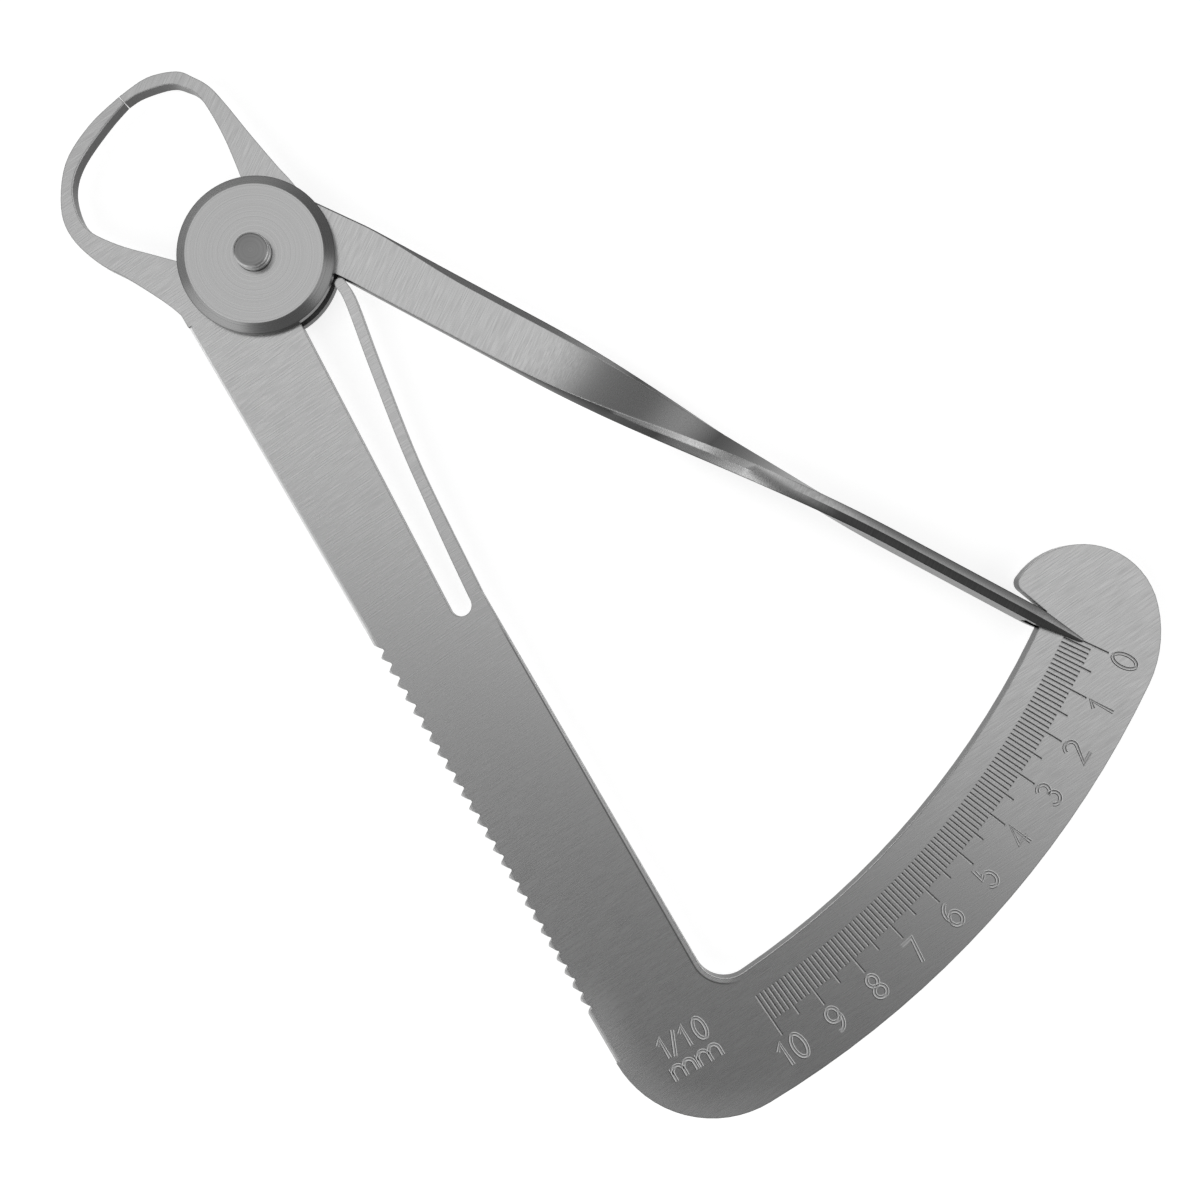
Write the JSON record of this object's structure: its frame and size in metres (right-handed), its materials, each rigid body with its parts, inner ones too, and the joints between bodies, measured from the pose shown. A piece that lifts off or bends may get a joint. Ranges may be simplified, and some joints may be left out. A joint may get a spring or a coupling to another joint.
{
  "type": "spring caliper",
  "caption": "Steel spring caliper: two sheet arms crossed on a riveted pivot, curved jaws closed by a leaf spring, and a forked pointer that reads an engraved arc scale.",
  "frame": {"origin": "pivot axis at the underside of the rivet's head", "axes": "+Z is the pivot axis and points out of the graduated face, +Y points from the pivot to the jaws, and the scale arm runs along -Y with the arc scale towards +X"},
  "size_m": [0.0682, 0.108, 0.0054],
  "materials": {
    "scale_steel": "brushed across the arm",
    "spring_steel": "brushed",
    "pointer_steel": "brushed across the leg",
    "turned_steel": "turned, with a bevelled rim",
    "rivet_steel": "turned"
  },
  "bodies": {
    "scale_body": {"scale_arm": "scale_steel", "spring_leaf": "spring_steel", "front_disc": "turned_steel", "pivot_rivet": "rivet_steel"},
    "pointer_body": {"pointer_arm": "pointer_steel"}
  },
  "joints": [
    {"name": "jaw_pivot", "type": "hinge", "parent": "scale_body", "child": "pointer_body", "pos_m": [0, 0, 0.00205], "axis": [0, 0, -1], "range_deg": [0, 31], "stiffness_Nm_per_rad": 0.1, "springref_deg": -2.29, "deforming": ["spring_leaf"]}
  ]
}
